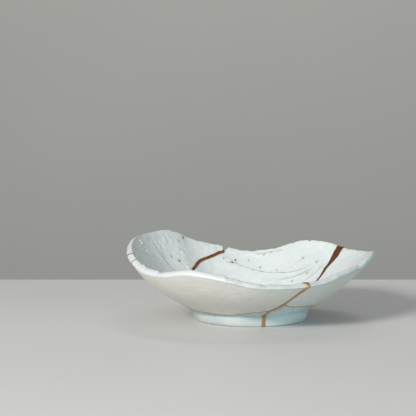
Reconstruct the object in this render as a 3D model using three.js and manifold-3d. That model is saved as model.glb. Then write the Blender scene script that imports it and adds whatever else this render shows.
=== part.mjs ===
// A kintsugi dish: a wavy porcelain dish on a turned foot, broken into shards and joined again
// with gold. Millimetres, +Z up, +X to the right, +Y to the back. The dish stands on z = 0 with
// the axis of its foot at x = y = 0.
import * as THREE from 'three';
import { mergeVertices } from 'three/addons/utils/BufferGeometryUtils.js';
import Module from 'manifold-3d';

const wasm = await Module();
wasm.setup();

// The torn rim: how far its outer edge reaches from the axis and how high it stands, at every
// 15 degrees from the right (+X) round the back (+Y), the left and the front.
const rimReach = [
  104.5, 103, 101.5, 101, 101, 101, 101.5, 102, 102.5, 103.5, 105, 105.5,
  104.8, 105, 104.5, 104, 103.5, 103.5, 103.5, 103.5, 103.5, 103.5, 104, 104.5,
];
const rimHeight = [
  53.9, 52.1, 52, 55.7, 55.1, 47.1, 44.3, 49.3, 55.5, 65.1, 64.7, 63,
  58.7, 53, 46.2, 44.6, 47.8, 44.7, 39.3, 38.5, 40.6, 46.6, 51.1, 56.6,
];
const stationCount = rimReach.length;

// Wall: its mean thickness at the lip, and how much thicker it is on the left than on the right.
const lipThickness = 5.2;
const lipSwell = 0.8;
// The lip slopes up from its outer to its inner edge: shares of the thickness, inward and upward.
const lipInward = 0.7;
const lipUpward = 0.66;
const lipCrown = 1.1;
const lipSteps = 3;
const wallSteps = 9;

// Each wall rises at an even slope and steepens to the rim: with t from its foot (0) to the rim
// (1), its height is slope * t + (1 - slope) * t ^ power. A swing is what is added at the right
// and taken off at the left.
const outerCurve = { slope: 0.7, slopeSwing: -0.06, power: 3.33, powerSwing: -1.13 };
const innerCurve = { slope: 0.73, slopeSwing: 0.06, power: 3.43, powerSwing: 0.07 };

// Foot ring, and the floor of the dish over it.
const footTopRadius = 49.5;
const footHeight = 8.9;
const footTilt = 1.6;
// Its side, as [radius, share of the foot's height].
const footSide = [[49.2, 0.72], [48.2, 0.3]];
const footEdge = { radius: 46.8, height: 0.7 };
const footStandRadius = 46;
const footInnerRadius = 42;
const footInnerBevel = 0.9;
const recessRadius = 39.5;
const recessHeight = 5.7;
const recessCrown = 0.5;
const middleRadius = 22;
const floorRadius = 44;
const floorHeight = 12.5;
const floorSag = 1;

// Gold joints: how far the gold stands proud of the glaze, how far it stays above the table, and
// the gap kept to every shard. A wall's surface faces 0.6 across and 0.8 up or down, on average,
// and the lip's 0.7 both ways.
const goldProud = 0.4;
const goldLift = 0.15;
const fitGap = 0.3;
const wallFacing = [0.6, 0.8];
const lipFacing = [0.7, 0.7];

const turnSteps = 60;
const routeStepLength = 5;
const deep = -5;
const tall = 90;
const far = 170;

// Routes of the joints, seen from above. Each point is [x, y, width of the gold].
// From the notch in the back rim down to the crack round the base.
const backRoute = [
  [-19.5, 108, 2.2], [-21.6, 92.3, 2.2], [-26, 88.8, 2.6], [-38.9, 76.6, 2.4],
  [-44.3, 69.3, 2.6], [-47, 61.5, 2.3], [-49.5, 53, 2], [-46.5, 41, 1.9], [-41.5, 32.5, 1.8],
];
// From the front rim down the wall, across the foot ring and the floor to the back of the base.
const frontRoute = [
  [46.5, -99.5, 2.6], [41.3, -94.9, 2.6], [36.6, -92.2, 2.5], [28.7, -85.8, 2.1],
  [22.5, -77.8, 2.6], [20.2, -74.7, 2.6], [16, -70.6, 2.8], [12.7, -65.3, 2.8],
  [10.6, -56.2, 2], [9, -48.2, 2.6], [6, -24, 2], [0, 0, 1.6], [-4.5, 28, 1.6],
  [-10, 52.6, 1.4],
];
const frontWallPoints = 8;
// Round the base, through the stretch of the front route between the two branches.
const baseRoute = [
  [54.5, 0, 1], [52, 13, 1], [47.2, 24.3, 1], [37, 37.5, 1], [20, 49.5, 1], [0, 53.5, 1],
  [-22, 49, 1], [-41.5, 32.5, 1], [-51, 13, 1], [-53, -6, 1], [-49.6, -27.9, 1],
  [-40.3, -38.4, 1], [-30.8, -44, 1], [-23.2, -47.5, 1], [-15.1, -51.4, 1], [-4.6, -59.5, 1],
  [2, -63.9, 1], [9.3, -66.3, 1], [12.7, -65.3, 1], [16, -70.6, 1], [20.2, -74.7, 1],
  [22.5, -77.8, 1], [27.7, -70.9, 1], [32.6, -65.2, 1], [39, -58, 1], [46.7, -43.2, 1],
  [52.5, -22, 1],
];
// The lost wedge at the right, filled with gold, and the crack that runs on below it.
const wedgeRoute = [
  [89, 59, 7.4], [81.9, 53.4, 7.4], [77.6, 49.8, 7.2], [74, 47.1, 4.8], [71.6, 45.6, 3.2],
  [68.4, 43.2, 2.6], [65.2, 39.3, 2], [60.5, 33.7, 0.9], [47.2, 24.3, 0.9],
];
// The chip put back in the left of the rim: its outline from above, out past the lip, the height
// of its underside, and the width of the gold round it.
const chipOutline = [
  [-112, -17.5], [-103, -19], [-99, -20.6], [-96.6, -23.6], [-95, -28.2], [-94.4, -32.6],
  [-97, -34.4], [-108, -38.5],
];
const chipUnderside = 47.5;
const chipJoint = 0.8;
// The little corner lost from the rim where the back joint meets it, as [x, z] seen from the front,
// cut through the lip from the back.
const notchOutline = [[-23.2, 62], [-22.8, 51], [-22.3, 48.4], [-21.3, 48], [-17.6, 52], [-15, 62]];
const notchBack = 112;
const notchDepth = 22;

const glaze = new THREE.MeshStandardMaterial({ color: 0xdfe7e5, roughness: 0.25, metalness: 0 });
const gold = new THREE.MeshStandardMaterial({ color: 0xa8743a, roughness: 0.35, metalness: 1 });

// A smooth closed curve through the rim's stations, read at any angle in degrees.
function atStation(values, degrees) {
  const place = degrees / (360 / stationCount);
  const k = Math.floor(place);
  const s = place - k;
  const [a, b, c, d] = [-1, 0, 1, 2].map(
    (step) => values[(((k + step) % stationCount) + stationCount) % stationCount]);
  return b + 0.5 * s * (c - a + s * (2 * a - 5 * b + 4 * c - d + s * (3 * (b - c) + d - a)));
}

function rimAt(degrees) {
  const cosine = Math.cos(THREE.MathUtils.degToRad(degrees));
  return {
    cosine,
    reach: atStation(rimReach, degrees),
    height: atStation(rimHeight, degrees),
    thickness: lipThickness - lipSwell * cosine,
    footTop: footHeight + footTilt * cosine,
  };
}

function rise(curve, cosine, t) {
  const slope = curve.slope + curve.slopeSwing * cosine;
  return slope * t + (1 - slope) * t ** (curve.power + curve.powerSwing * cosine);
}

// A shallow bowl's depth at a radius, from its full depth in the middle to none at its edge.
function bowl(depth, radius, edge) {
  return depth * (1 - (radius / edge) ** 2);
}

function outerWall(rim, t) {
  return [
    THREE.MathUtils.lerp(footTopRadius, rim.reach, t),
    THREE.MathUtils.lerp(rim.footTop, rim.height, rise(outerCurve, rim.cosine, t)),
  ];
}

function innerWall(rim, t) {
  const reach = rim.reach - lipInward * rim.thickness;
  const height = rim.height + lipUpward * rim.thickness;
  return [
    THREE.MathUtils.lerp(floorRadius, reach, t),
    THREE.MathUtils.lerp(floorHeight, height, rise(innerCurve, rim.cosine, t)),
  ];
}

// The rounded face of the lip, from its inner edge (s = 0) over to its outer edge (s = 1).
function lip(rim, s) {
  const crown = lipCrown * Math.sin(Math.PI * s);
  return [
    rim.reach - (1 - s) * lipInward * rim.thickness + lipUpward * crown,
    rim.height + (1 - s) * lipUpward * rim.thickness + lipInward * crown,
  ];
}

// The section through the dish at one angle, written from the middle of the floor out over the rim
// and back under the foot, and given back the other way round, which turns its faces outwards.
// A skin is the same section grown all over by that much.
function sectionAt(degrees, skin) {
  const rim = rimAt(degrees);
  const [across, up] = wallFacing.map((share) => share * skin);
  const points = [
    [0, floorHeight - floorSag + skin],
    [middleRadius, floorHeight - bowl(floorSag, middleRadius, floorRadius) + skin],
  ];
  for (let k = 0; k <= wallSteps; k += 1) {
    const [radius, height] = innerWall(rim, k / wallSteps);
    points.push([radius - across, height + up]);
  }
  for (let k = 1; k < lipSteps; k += 1) {
    const [radius, height] = lip(rim, k / lipSteps);
    points.push([radius + lipFacing[0] * skin, height + lipFacing[1] * skin]);
  }
  for (let k = wallSteps; k >= 0; k -= 1) {
    const [radius, height] = outerWall(rim, k / wallSteps);
    points.push([radius + up, height - across]);
  }
  const stand = skin > 0 ? goldLift : 0;
  points.push(
    ...footSide.map(([radius, share]) => [radius + skin, rim.footTop * share]),
    [footEdge.radius + skin, footEdge.height + stand],
    [footStandRadius, stand],
    [footInnerRadius, stand],
    [footInnerRadius - footInnerBevel - skin, footInnerBevel + stand],
    [recessRadius, recessHeight - skin],
    [middleRadius, recessHeight + bowl(recessCrown, middleRadius, recessRadius) - skin],
    [0, recessHeight + recessCrown - skin],
  );
  return points.reverse();
}

// A turned body whose every turn step is then drawn out to its own section of the wavy dish.
function turnedDish(skin) {
  const pattern = sectionAt(0, skin).map(([radius, height]) => new THREE.Vector2(radius, height));
  const geometry = new THREE.LatheGeometry(pattern, turnSteps);
  const position = geometry.attributes.position;
  for (let turn = 0; turn <= turnSteps; turn += 1) {
    const degrees = (360 * (turn % turnSteps)) / turnSteps;
    const angle = THREE.MathUtils.degToRad(degrees);
    sectionAt(degrees, skin).forEach(([radius, height], k) => {
      position.setXYZ(
        turn * pattern.length + k, radius * Math.cos(angle), radius * Math.sin(angle), height);
    });
  }
  return solid(geometry);
}

// A closed geometry as a solid that can be cut and joined.
function solid(geometry) {
  const bare = geometry.clone();
  bare.deleteAttribute('normal');
  bare.deleteAttribute('uv');
  const merged = mergeVertices(bare, 1e-4);
  return new wasm.Manifold(new wasm.Mesh({
    numProp: 3,
    vertProperties: Float32Array.from(merged.attributes.position.array),
    triVerts: Uint32Array.from(merged.index.array),
  }));
}

// An upright block over an outline seen from above.
function prism(points, bottom = deep) {
  const shape = new THREE.Shape(points.map(([x, y]) => new THREE.Vector2(x, y)));
  const geometry = new THREE.ExtrudeGeometry(shape, { depth: tall - bottom, bevelEnabled: false });
  geometry.translate(0, 0, bottom);
  return solid(geometry);
}

// The smooth route through hand-set points, as [x, y, width] at even steps.
function smooth(route, closed = false) {
  const points = route.map((point) => new THREE.Vector3(...point));
  const curve = new THREE.CatmullRomCurve3(points, closed, 'catmullrom', 0.5);
  const steps = Math.ceil(curve.getLength() / routeStepLength);
  return curve.getSpacedPoints(steps).map((point) => [point.x, point.y, point.z]);
}

// Both edges of a band along a line, each half the band's width to its own side.
function bandEdges(line, extra, closed) {
  const last = line.length - 1;
  return line.map(([x, y, width], k) => {
    const before = k === 0 && closed ? line[last - 1] : line[Math.max(k - 1, 0)];
    const after = k === last && closed ? line[1] : line[Math.min(k + 1, last)];
    const along = new THREE.Vector2(after[0] - before[0], after[1] - before[1]).normalize();
    const half = width / 2 + extra;
    return {
      left: [x - along.y * half, y + along.x * half],
      right: [x + along.y * half, y - along.x * half],
    };
  });
}

function band(route, extra) {
  const edges = bandEdges(smooth(route), extra, false);
  return prism([...edges.map((edge) => edge.left), ...edges.map((edge) => edge.right).reverse()]);
}

function closedBand(route, extra) {
  const edges = bandEdges(smooth(route, true), extra, true).slice(0, -1);
  const inside = prism(edges.map((edge) => edge.left));
  return prism(edges.map((edge) => edge.right)).subtract(inside);
}

function meshOf(name, body, material) {
  const { vertProperties, triVerts } = body.getMesh();
  const geometry = new THREE.BufferGeometry();
  geometry.setAttribute('position', new THREE.BufferAttribute(vertProperties, 3));
  geometry.setIndex(new THREE.BufferAttribute(triVerts, 1));
  geometry.computeVertexNormals();
  const mesh = new THREE.Mesh(geometry, material);
  mesh.name = name;
  return mesh;
}

// A point far outside the dish, and a route without its widths.
function towards(degrees) {
  const angle = THREE.MathUtils.degToRad(degrees);
  return [far * Math.cos(angle), far * Math.sin(angle)];
}

function flat(route) {
  return smooth(route).map(([x, y]) => [x, y]);
}

function lostCorner() {
  const shape = new THREE.Shape(notchOutline.map(([x, z]) => new THREE.Vector2(x, z)));
  const geometry = new THREE.ExtrudeGeometry(shape, { depth: notchDepth, bevelEnabled: false });
  geometry.rotateX(Math.PI / 2);
  geometry.translate(0, notchBack, 0);
  return solid(geometry);
}

const notch = lostCorner();
const dish = turnedDish(0).subtract(notch);
const goldSkin = turnedDish(goldProud).subtract(notch);

// The block that holds the chip, grown sideways and downwards by a margin.
function chipBlock(margin) {
  const outline = [...chipOutline, chipOutline[0]].map(([x, y]) => [x, y, 0]);
  const grown = bandEdges(outline, margin, true).slice(0, -1).map((edge) => edge.left);
  return prism(grown, chipUnderside - margin);
}

const seams = {
  back: (extra) => band(backRoute, extra),
  front: (extra) => band(frontRoute, extra),
  base: (extra) => closedBand(baseRoute, extra),
  wedge: (extra) => band(wedgeRoute, extra),
  chip: (extra) => chipBlock(chipJoint / 2 + extra).subtract(chipBlock(-chipJoint / 2 - extra)),
};

// Shards: the dish less every joint, parted into the fields between the joints.
const shards = Object.values(seams).reduce((rest, seam) => rest.subtract(seam(fitGap)), dish);
const baseField = prism(flat([...baseRoute, baseRoute[0]]));
const walls = shards.subtract(baseField);
const base = shards.intersect(baseField);
const backLine = flat(backRoute);
const wedgeLine = flat(wedgeRoute);
const frontLine = flat(frontRoute);
const frontWallLine = flat(frontRoute.slice(0, frontWallPoints));

const leftField = prism([
  [0, 0], ...backLine.slice().reverse(), towards(120), towards(180), towards(240), towards(285),
  ...frontWallLine,
]);
const rightFrontField = prism([
  [0, 0], ...frontWallLine.slice().reverse(), towards(-40), towards(-5), ...wedgeLine,
]);
const rightBackField = prism([
  [0, 0], ...wedgeLine.slice().reverse(), towards(60), towards(85), ...backLine,
]);
const baseLeftField = prism([towards(90), towards(180), towards(270), ...frontLine]);

const dishGroup = new THREE.Group();
dishGroup.add(
  meshOf('left_wall_shard', walls.intersect(leftField).subtract(chipBlock(0)), glaze),
  meshOf('right_front_wall_shard', walls.intersect(rightFrontField), glaze),
  meshOf('right_back_wall_shard', walls.intersect(rightBackField), glaze),
  meshOf('base_left_shard', base.intersect(baseLeftField), glaze),
  meshOf('base_right_shard', base.subtract(baseLeftField), glaze),
  meshOf('rim_chip', walls.intersect(chipBlock(0)), glaze),
);

// Gold: the same joints, filled a little proud of the glaze, each kept clear of the one it meets.
dishGroup.add(
  meshOf('gold_seam_front', goldSkin.intersect(seams.front(0)), gold),
  meshOf('gold_seam_base', goldSkin.intersect(seams.base(0)).subtract(seams.front(fitGap)), gold),
  meshOf('gold_seam_back', goldSkin.intersect(seams.back(0)).subtract(seams.base(fitGap)), gold),
  meshOf('gold_wedge_right', goldSkin.intersect(seams.wedge(0)).subtract(seams.base(fitGap)), gold),
  meshOf('gold_seam_chip', goldSkin.intersect(seams.chip(0)), gold),
);

export default dishGroup;
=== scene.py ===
"""A kintsugi dish in its finished look: glazed porcelain shards joined again with gold.

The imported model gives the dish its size, its pieces and its places. Here every piece gets a finer
surface on the same sections and along the same joints, with the torn rim, the folds of the inner
wall and the raised gold. Lengths are millimetres until a mesh is put in, and metres after that.
The dish stands on z = 0 with the axis of its foot at x = y = 0, and angles are in degrees from
the right (+X) round the back (+Y).
"""
import math

import bpy
import numpy as np
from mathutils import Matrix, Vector


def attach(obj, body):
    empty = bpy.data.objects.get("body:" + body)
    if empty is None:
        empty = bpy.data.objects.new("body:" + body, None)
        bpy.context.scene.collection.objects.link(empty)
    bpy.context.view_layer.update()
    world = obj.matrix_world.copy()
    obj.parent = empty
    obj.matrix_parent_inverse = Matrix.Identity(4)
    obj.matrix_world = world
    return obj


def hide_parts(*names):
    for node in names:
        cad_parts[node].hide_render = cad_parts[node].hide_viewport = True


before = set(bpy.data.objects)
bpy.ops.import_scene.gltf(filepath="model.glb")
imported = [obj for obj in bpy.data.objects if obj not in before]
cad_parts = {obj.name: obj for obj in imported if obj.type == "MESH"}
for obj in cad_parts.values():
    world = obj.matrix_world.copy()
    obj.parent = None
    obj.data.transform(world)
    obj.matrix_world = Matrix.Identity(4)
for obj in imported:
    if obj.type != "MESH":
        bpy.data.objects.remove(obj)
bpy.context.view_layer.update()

MM = 0.001

# The rim at every 15 degrees: how far its outer edge reaches, and how high it stands.
RIM_REACH = np.array([
    104.5, 103, 101.5, 101, 101, 101, 101.5, 102, 102.5, 103.5, 105, 105.5,
    104.8, 105, 104.5, 104, 103.5, 103.5, 103.5, 103.5, 103.5, 103.5, 104, 104.5,
])
RIM_HEIGHT = np.array([
    53.9, 52.1, 52, 55.7, 55.1, 47.1, 44.3, 49.3, 55.5, 65.1, 64.7, 63,
    58.7, 53, 46.2, 44.6, 47.8, 44.7, 39.3, 38.5, 40.6, 46.6, 51.1, 56.6,
])

# Wall: thickness at the lip, its swing from left to right, how far the lip's inner edge lies
# inwards of and above its outer edge, as shares of that thickness, and how its top is crowned.
LIP_THICKNESS = 5.2
LIP_SWELL = 0.8
LIP_INWARD = 0.7
LIP_UPWARD = 0.66
LIP_CROWN = 1.1
LIP_ROUNDNESS = 0.8

# Each wall rises at an even slope and steepens to the rim: with t from its foot (0) to the rim
# (1), its height is slope * t + (1 - slope) * t ^ power. A swing is what is added at the right
# and taken off at the left.
OUTER_CURVE = {"slope": 0.7, "slope_swing": -0.06, "power": 3.33, "power_swing": -1.13}
INNER_CURVE = {"slope": 0.73, "slope_swing": 0.06, "power": 3.43, "power_swing": 0.07}

# Foot ring, floor and recess: the foot's top is tilted from left to right, the floor sags to its
# middle and is blended into the wall, and the ceiling of the recess is slightly domed.
FOOT_TOP_RADIUS = 49.5
FOOT_HEIGHT = 8.9
FOOT_TILT = 1.6
FLOOR_RADIUS = 44
FLOOR_HEIGHT = 12.5
FLOOR_SAG = 1
FLOOR_BLEND = 5
RECESS_RADIUS = 39.5
RECESS_HEIGHT = 5.7
RECESS_CROWN = 0.5

# From its last stretch of wall the underside is one rounded line through the points of the foot:
# radii on the wall, then [radius, share of the foot's height, mm above that], then the ceiling
# of the recess at even steps.
FOOT_WALL_RADII = [53, 51.5, 50]
FOOT_OUTLINE = [
    [49.5, 1, -0.7], [49.2, 0.78, 0], [48.9, 0.58, 0], [48.4, 0.38, 0], [47.7, 0.17, 0],
    [46.9, 0, 0.35], [46, 0, 0], [44.9, 0, 0], [43.8, 0, 0], [42.6, 0, 0], [41.5, 0, 0.35],
    [40.9, 0, 1.6], [40.4, 0, 3.2], [39.8, 0, 4.7], [38.6, 0, 5.6],
]
FOOT_LINE_START = FOOT_WALL_RADII[1]
FOOT_LINE_STEP = 2.0
CEILING_START = 36
CEILING_STEP = 4
CEILING_INDEX = len(FOOT_WALL_RADII) + len(FOOT_OUTLINE)

# Stretches of a section, measured from the middle of the floor, over the lip and back under, and
# the places on it of the foot's side, of both edges of the face that stands on the table, and of
# the corner where the recess meets its ceiling.
WALL_STRETCH = 72.0
LIP_STRETCH = 7.0
OUTER_STRETCH = 62.0
LIP_INNER = FLOOR_RADIUS + WALL_STRETCH
LIP_OUTER = LIP_INNER + LIP_STRETCH
FOOT_LINE = LIP_OUTER + OUTER_STRETCH
FOOT_SIDE = FOOT_LINE + 4
STAND_OUTER = FOOT_LINE + 16
STAND_INNER = FOOT_LINE + 22
RECESS_TOP = FOOT_LINE + 31

# Routes of the joints seen from above, each point [x, y, width of the gold].
BACK_ROUTE = [
    [-19.5, 108, 2.2], [-21.6, 92.3, 2.2], [-26, 88.8, 2.6], [-38.9, 76.6, 2.4],
    [-44.3, 69.3, 2.6], [-47, 61.5, 2.3], [-49.5, 53, 2], [-46.5, 41, 1.9], [-41.5, 32.5, 1.8],
]
FRONT_ROUTE = [
    [46.5, -99.5, 2.6], [41.3, -94.9, 2.6], [36.6, -92.2, 2.5], [28.7, -85.8, 2.1],
    [22.5, -77.8, 2.6], [20.2, -74.7, 2.6], [16, -70.6, 2.8], [12.7, -65.3, 2.8],
    [10.6, -56.2, 2], [9, -48.2, 2.6], [6, -24, 2], [0, 0, 1.6], [-4.5, 28, 1.6],
    [-10, 52.6, 1.4],
]
BASE_ROUTE = [
    [54.5, 0, 1], [52, 13, 1], [47.2, 24.3, 1], [37, 37.5, 1], [20, 49.5, 1], [0, 53.5, 1],
    [-22, 49, 1], [-41.5, 32.5, 1], [-51, 13, 1], [-53, -6, 1], [-49.6, -27.9, 1],
    [-40.3, -38.4, 1], [-30.8, -44, 1], [-23.2, -47.5, 1], [-15.1, -51.4, 1], [-4.6, -59.5, 1],
    [2, -63.9, 1], [9.3, -66.3, 1], [12.7, -65.3, 2.6], [16, -70.6, 2.8], [20.2, -74.7, 2.6],
    [22.5, -77.8, 2.2], [27.7, -70.9, 1], [32.6, -65.2, 1], [39, -58, 1], [46.7, -43.2, 1],
    [52.5, -22, 1],
]
WEDGE_ROUTE = [
    [89, 59, 7.4], [81.9, 53.4, 7.4], [77.6, 49.8, 7.2], [74, 47.1, 4.8], [71.6, 45.6, 3.2],
    [68.4, 43.2, 2.6], [65.2, 39.3, 2], [60.5, 33.7, 0.9], [47.2, 24.3, 0.9],
]
# Where the front joint leaves the base joint, and where it meets it again.
BRANCH_RIGHT = [22.5, -77.8]
BRANCH_LEFT = [12.7, -65.3]

# The chip in the rim: its sides at the inner and at the outer edge of the lip, how far it reaches
# down the inner and the outer wall, its depth and the play under it, the radius at which its
# angles are turned into lengths, and the width of the joint round it.
CHIP_SIDES_IN = [193.9, 200.8]
CHIP_SIDES_OUT = [190.2, 199.8]
CHIP_DOWN_IN = 2.6
CHIP_DOWN_OUT = 4.3
CHIP_DEPTH = 1.6
CHIP_CLEARANCE = 0.25
CHIP_REACH = 103
CHIP_JOINT_WIDTH = 0.8
# The lacquer that runs on from the chip: its angles, how far below the lip it ends, its width.
LIP_RUN_ANGLES = [201.4, 208.6]
LIP_RUN_END = 0.6
LIP_RUN_WIDTH = 1.0

# Nicks and tears of the rim: angle, reach to smaller and to larger angles (mm), depth (mm).
RIM_NICKS = [
    (103.1, 5.0, 0.8, 5.0), (64, 2.4, 1.2, 0.7), (54.1, 1.4, 2.6, 1.0), (26.1, 1.2, 2.2, 0.9),
    (12, 2.2, 1.2, 1.0), (87, 3, 4, 0.6), (74, 1.6, 1.8, 0.5), (149.4, 1.4, 1.2, 0.7),
    (133, 2, 3, 0.6), (119, 2.5, 1.4, 0.5), (19, 1.6, 1.4, 0.6), (4, 2.6, 1.6, 0.8),
]
# The same for what is torn off the inner edge of the lip alone.
LIP_BITES = [
    (221.5, 0.5, 9, 1.9), (212, 3, 4, 0.6), (246, 8, 6, 0.5), (258.3, 3, 3, 1.1), (264.5, 4, 3, 0.9),
    (274.3, 4, 2.5, 1.9), (286, 9, 6, 1.5), (306, 6, 5, 0.8), (326, 7, 8, 2),
]

# Unevenness of the whole surface: the size of its waves, their place in the noise, and their
# height on the inner side and on the others.
WAVES = [(19, 2.2, 0.45, 0.25), (7.5, 4.4, 0.2, 0.1), (2.4, 10.4, 0.06, 0.02)]
# Size, place in the noise and height of the tool marks inside, which are stretched by this much
# in x, y and z, and of the torn skin near the rim. Height and pitch of the turning marks outside.
TOOL_MARKS = [(1.9, 6.1, 0.09), (0.9, 8.2, 0.06)]
TOOL_STRETCH = np.array([0.05, 1, 0.2])
TORN_SKIN = [(3.4, 12.1, 0.28), (1.5, 14.9, 0.14)]
TURNING_HEIGHT = 0.035
TURNING_PITCH = 1.35
# Angles of the roughest stretch of the rim, of the painted shade along the front of the rim, of
# the side turned from the window, whose shade is painted as a cool tint, and of the tip where
# glaze has pooled.
ROUGHEST_ANGLE = 48
FRONT_SHADE_ANGLE = 284
SHADED_ANGLE = -20
TIP_ANGLE = -25

# Folds of the inner wall: a lower layer ends in a lip that stands proud of the layer above it.
# Each has its route from left to right, the lip's height, the crevice's depth, and how far the
# layer swells below the lip.
FOLDS = [
    ([(-27, 85.5), (-15, 85), (-3.9, 82.7), (10.4, 76.2), (24.7, 68.5), (33.4, 62.8), (42.1, 58.8),
      (55.2, 54.8)], 1, 0.8, 9),
    ([(24.1, 57.7), (38.1, 52.9), (51.3, 51.3), (59.4, 51.7)], 0.8, 0.5, 6),
    ([(45.3, 41.9), (50.6, 41.4), (61.5, 45.3), (68.2, 50.4)], 0.7, 0.5, 5),
    ([(4.8, 94.6), (14, 92.5), (25.9, 90.4), (36, 86)], 0.5, 0.3, 5),
    ([(-87.4, 44.5), (-78.5, 41.6), (-69.6, 38.6), (-60, 35.8)], 0.3, 0.35, 4),
    ([(-76.6, 60.5), (-74.8, 61.2), (-72.9, 60.3)], 0.5, 0.2, 3),
    ([(-70.4, 64.5), (-69, 65.2), (-67.8, 64.8)], 0.45, 0.2, 3),
    ([(-61.3, 62.6), (-58, 64.6), (-55.1, 65.2)], 0.6, 0.2, 3),
    ([(-54.9, 54.5), (-53, 55.1), (-51.3, 54.3)], 0.8, 0.35, 3),
]
# Dents pressed into the inner wall: x, y, radius, depth.
DENTS = [
    (-15.3, 63.7, 5, 0.8), (-3.6, 62.5, 4, 0.7), (16, 56.8, 5, 0.9), (-77, 50.7, 1.2, 0.5),
    (40, -62, 9, 0.5), (-30, -60, 12, 0.5),
]

# Pin holes filled with lacquer: ones painted dark brown as a painted dark reflection, ones dusted
# with gold, and splashes on the left wall, painted near white as a glint; each (x, y, radius).
DARK_SPECKS = [
    (-59, 77.2, 0.9), (-61.8, 52.6, 0.95), (-13.9, 83.9, 0.85), (-10.8, 87.8, 0.85), (-21.7, 84.9, 0.5),
]
GOLD_SPECKS = [
    (-62.9, 69.8, 0.75), (-68.9, 50.2, 0.8), (11.7, 81.1, 0.85), (15.9, 92, 0.8), (22.6, 91.3, 0.6),
    (26.3, 71.7, 0.55), (50, 68.3, 0.95), (61.2, 56.3, 0.75), (52, 49, 0.8), (38.8, 48.6, 0.8),
    (1.4, 89.2, 0.6),
]
OUTER_SPOTS = [(-40.5, -68.2, 0.9), (-4.9, -88.5, 0.9)]
SPLASHES = [
    (-94.9, 27.8, 0.8), (-93.8, 27, 1), (-89.3, 26.3, 0.7), (-95.6, -9.4, 0.7), (-94.4, -5.3, 0.6),
    (-92.7, -37.5, 0.7), (-91.7, -39.9, 0.7), (-90.6, -42.3, 0.6), (-87.9, -47.7, 1),
]

# Rows of the shards over the lip, and down the wall, round the foot and over the ceiling of the
# base, with the radius where the ceiling's rows start. The rows of a wall lie closer towards its
# lip by the power ROW_CROWDING. Faces that meet at more than SHARP_ANGLE keep a sharp edge.
LIP_ROWS = 16
BASE_WALL_ROWS = 30
FOOT_ROWS = 82
CEILING_ROWS = 26
CEILING_EDGE = 31.0
ROW_CROWDING = 1.15
SHARP_ANGLE = 50

# Clear space between a shard's edge and the width of its joint, the steps in which a joint is
# followed and its rings of gold are set, and how near the front joint comes to the axis.
SHARD_GAP = 0.05
PATH_STEP = 0.3
SEAM_STEP = 0.7
NEAR_AXIS = 0.4

# Sections of the gold. A dome lies over the glaze by the overlap on each side. Waver and wander
# say how much its width and its middle stray, points and flatness shape its arch, grain is the
# height of its grit, and depth is how far its stem stands in the joint.
BEAD = {"overlap": 0.4, "height": 0.5, "waver": 0.14, "wander": 0.18, "points": 11,
        "flatness": 2.4, "grain": 0.05, "depth": 2.3}
NARROW_BEAD = {**BEAD, "overlap": 0.08, "height": 0.45}
HAIRLINE = {"overlap": 0.25, "height": 0.3, "waver": 0.25, "wander": 0.12, "points": 7,
            "flatness": 2, "grain": 0.02, "depth": 1.6}
FILLED = {"overlap": 0.5, "height": 0.5, "waver": 0.03, "wander": 0, "points": 25,
          "flatness": 9, "grain": 0.16, "depth": 2.3}
# How deep the rim of a dome is sunk in the glaze, how far in from it and at which depths the
# dome's underside lies, how much slimmer than the joint the stem is, at least how wide it is to
# each side, and how near the gold comes to the table.
DOME_SUNK = 0.06
DOME_SHOULDER = 0.12
SHOULDER_DEPTHS = (0.3, 0.35)
STEM_PLAY = 0.05
STEM_LEAST = 0.12
ABOVE_TABLE = 0.02


def catmull_rom(a, b, c, d, s):
    """The cubic from b (at s = 0) to c (at s = 1) whose slope at either end is half the way from
    one neighbour of that end to the other."""
    return b + 0.5 * s * (c - a + s * (2 * a - 5 * b + 4 * c - d + s * (3 * (b - c) + d - a)))


def at_station(values, degrees):
    """A periodic Catmull-Rom curve through the values at even angles."""
    count = len(values)
    place = np.asarray(degrees, float) * count / 360
    k = np.floor(place).astype(int)
    a, b, c, d = (values[(k + step) % count] for step in (-1, 0, 1, 2))
    return catmull_rom(a, b, c, d, place - k)


def cosd(degrees):
    """Cosine of an angle in degrees."""
    return np.cos(np.radians(degrees))


def sind(degrees):
    """Sine of an angle in degrees."""
    return np.sin(np.radians(degrees))


def mix(a, b, share):
    """a at share 0, b at share 1, and a straight line between them."""
    return a + (b - a) * share


def bell(value, middle, width):
    """1 at the middle, falling on both sides as e^-((value - middle) / width)^2."""
    return np.exp(-((value - middle) / width) ** 2)


def round_spot(x, y, middle_x, middle_y, size):
    """1 at the middle, falling all round as e^-(distance / size)^2."""
    return np.exp(-((x - middle_x) ** 2 + (y - middle_y) ** 2) / size ** 2)


def smoothstep(low, high, value):
    """0 below low, 1 above high, and 3s^2 - 2s^3 between them."""
    s = np.clip((value - low) / (high - low), 0, 1)
    return s * s * (3 - 2 * s)


def turn_to(angle, around):
    """The angle moved by whole turns to lie within half a turn of another."""
    return around + (angle - around + 180) % 360 - 180


CELLS = 32
LATTICE = np.random.default_rng(11).uniform(-1, 1, (CELLS, CELLS, CELLS))


def noise(points, size, shift=0.0):
    """Value noise from -1 to 1: random values at the corners of cubes of that size, blended
    by 3s^2 - 2s^3 along each axis. It repeats after CELLS cubes, a power of two."""
    q = points / size + shift
    k = np.floor(q).astype(int)
    s = q - k
    s = s * s * (3 - 2 * s)
    x0, y0, z0 = (k[..., n] & (CELLS - 1) for n in range(3))
    x1, y1, z1 = ((k[..., n] + 1) & (CELLS - 1) for n in range(3))
    sx, sy, sz = (s[..., n] for n in range(3))
    low = mix(mix(LATTICE[x0, y0, z0], LATTICE[x1, y0, z0], sx),
              mix(LATTICE[x0, y1, z0], LATTICE[x1, y1, z0], sx), sy)
    high = mix(mix(LATTICE[x0, y0, z1], LATTICE[x1, y0, z1], sx),
               mix(LATTICE[x0, y1, z1], LATTICE[x1, y1, z1], sx), sy)
    return mix(low, high, sz)


def heaped(points, table):
    """The sum of height * noise over a table of size, place in the noise and height."""
    return sum(height * noise(points, size, shift) for size, shift, height in table)


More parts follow.
